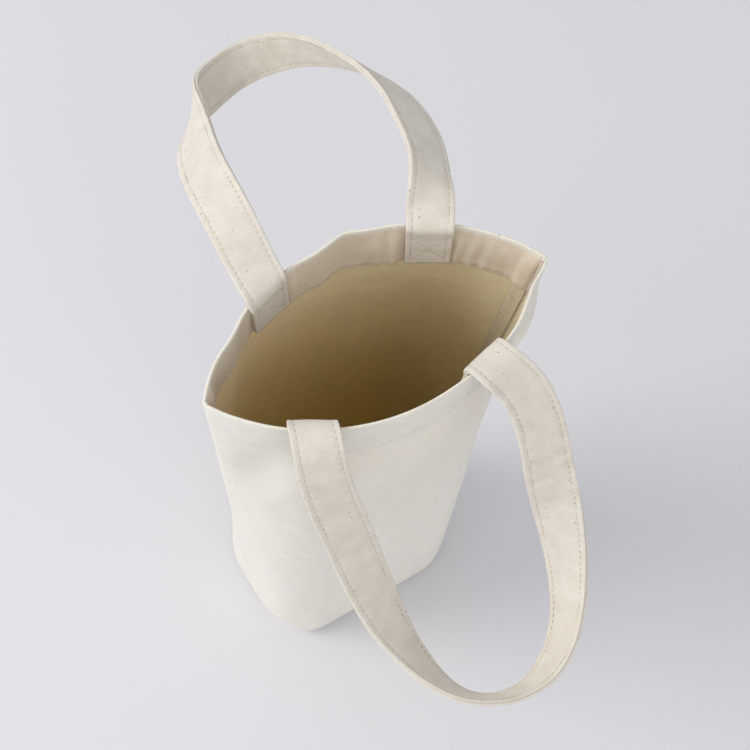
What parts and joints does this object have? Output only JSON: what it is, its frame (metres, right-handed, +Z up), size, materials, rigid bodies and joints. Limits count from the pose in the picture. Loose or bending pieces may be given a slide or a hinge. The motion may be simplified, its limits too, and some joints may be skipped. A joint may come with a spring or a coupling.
{
  "type": "bottle carrier bag",
  "caption": "Tall narrow canvas tote that carries a bottle upright, with a boxed base, an open hemmed mouth and strap handle loops.",
  "frame": {"origin": "middle of the base, on the surface that the bag stands on", "axes": "+Z up, X along the wide panels, -Y the front, +Y the back"},
  "size_m": [0.149, 0.3145, 0.3296],
  "materials": {
    "bag_canvas": "plain woven natural cotton canvas",
    "seam_canvas": "overlocked raw canvas edge",
    "strap_canvas": "folded and topstitched canvas strap"
  },
  "bodies": {
    "bag": {"front_panel": "bag_canvas", "back_panel": "bag_canvas", "front_hem": "bag_canvas", "back_hem": "bag_canvas", "left_side_seam": "seam_canvas", "right_side_seam": "seam_canvas", "base_seam": "seam_canvas", "left_corner_seam": "seam_canvas", "right_corner_seam": "seam_canvas", "front_left_strap_end": "strap_canvas", "front_right_strap_end": "strap_canvas", "back_left_strap_end": "strap_canvas", "back_right_strap_end": "strap_canvas"},
    "front_handle": {"front_handle_strap": "strap_canvas"},
    "back_handle": {"back_handle_strap": "strap_canvas"}
  },
  "joints": [
    {"name": "front_handle_swing", "type": "hinge", "parent": "bag", "child": "front_handle", "pos_m": [0.0025, -0.03889, 0.326], "axis": [-1, 0, 0], "range_deg": [-20, 135]},
    {"name": "back_handle_swing", "type": "hinge", "parent": "bag", "child": "back_handle", "pos_m": [0.0085, 0.02225, 0.326], "axis": [1, 0, 0], "range_deg": [-25, 120]}
  ]
}
